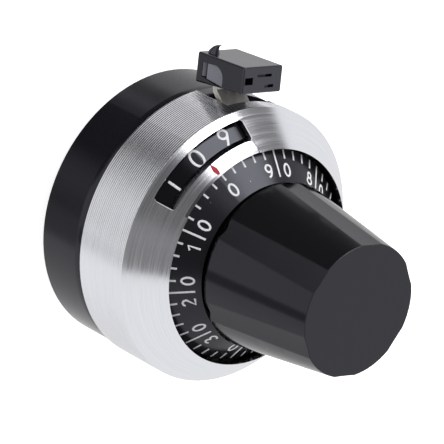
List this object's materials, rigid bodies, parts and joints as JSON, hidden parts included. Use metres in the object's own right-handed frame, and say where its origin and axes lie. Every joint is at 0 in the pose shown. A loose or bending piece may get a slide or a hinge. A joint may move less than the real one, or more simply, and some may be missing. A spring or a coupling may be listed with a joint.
{
  "type": "turns counting dial",
  "caption": "Small panel dial for a multi-turn potentiometer: fluted knob, divided ring, turns-counter window and brake lever.",
  "frame": {"origin": "centre of the dial on its rear face, where it meets the panel", "axes": "+Z along the shaft from the panel to the front of the knob, +X towards the index mark over the window"},
  "size_m": [0.0235, 0.0222, 0.0252],
  "materials": {
    "black_gloss_plastic": "gloss",
    "turned_aluminium": "fine turned, bright",
    "black_dial": "satin",
    "counter_black": "gloss",
    "brass": "machined",
    "steel": "dull plated",
    "black_steel": "blackened",
    "natural_plastic": "matte",
    "grip_plastic": "moulded, half gloss"
  },
  "bodies": {
    "housing": {"rear_housing": "black_gloss_plastic", "cover": "turned_aluminium", "slip_washer": "natural_plastic", "thrust_washer": "steel"},
    "knob": {"knob_cap": "black_gloss_plastic", "hub": "brass", "carrier": "steel", "dial_ring": "black_dial", "set_screws": "black_steel", "retaining_ring": "steel"},
    "planet": {"planet_pinion": "natural_plastic", "planet_wheel": "natural_plastic"},
    "counter": {"counter_ring": "counter_black"},
    "lever": {"lever_plate": "steel", "lever_grip": "grip_plastic", "brake_pads": "natural_plastic"}
  },
  "joints": [
    {"name": "knob_turn", "type": "hinge", "parent": "housing", "child": "knob", "pos_m": [0, 0, 0], "axis": [0, 0, 1], "continuous": true},
    {"name": "counter_turn", "type": "hinge", "parent": "housing", "child": "counter", "pos_m": [0, 0, 0], "axis": [0, 0, 1], "continuous": true},
    {"name": "planet_turn", "type": "hinge", "parent": "knob", "child": "planet", "pos_m": [-0.00597, 0.00345, 0], "axis": [0, 0, 1], "continuous": true},
    {"name": "brake_swing", "type": "hinge", "parent": "housing", "child": "lever", "pos_m": [0, 0, 0], "axis": [0, 0, 1], "range_deg": [-14, 0]}
  ],
  "couplings": [
    {"joint": "counter_turn", "follows": "knob_turn", "ratio": 0.045455},
    {"joint": "planet_turn", "follows": "knob_turn", "ratio": -4.2}
  ]
}
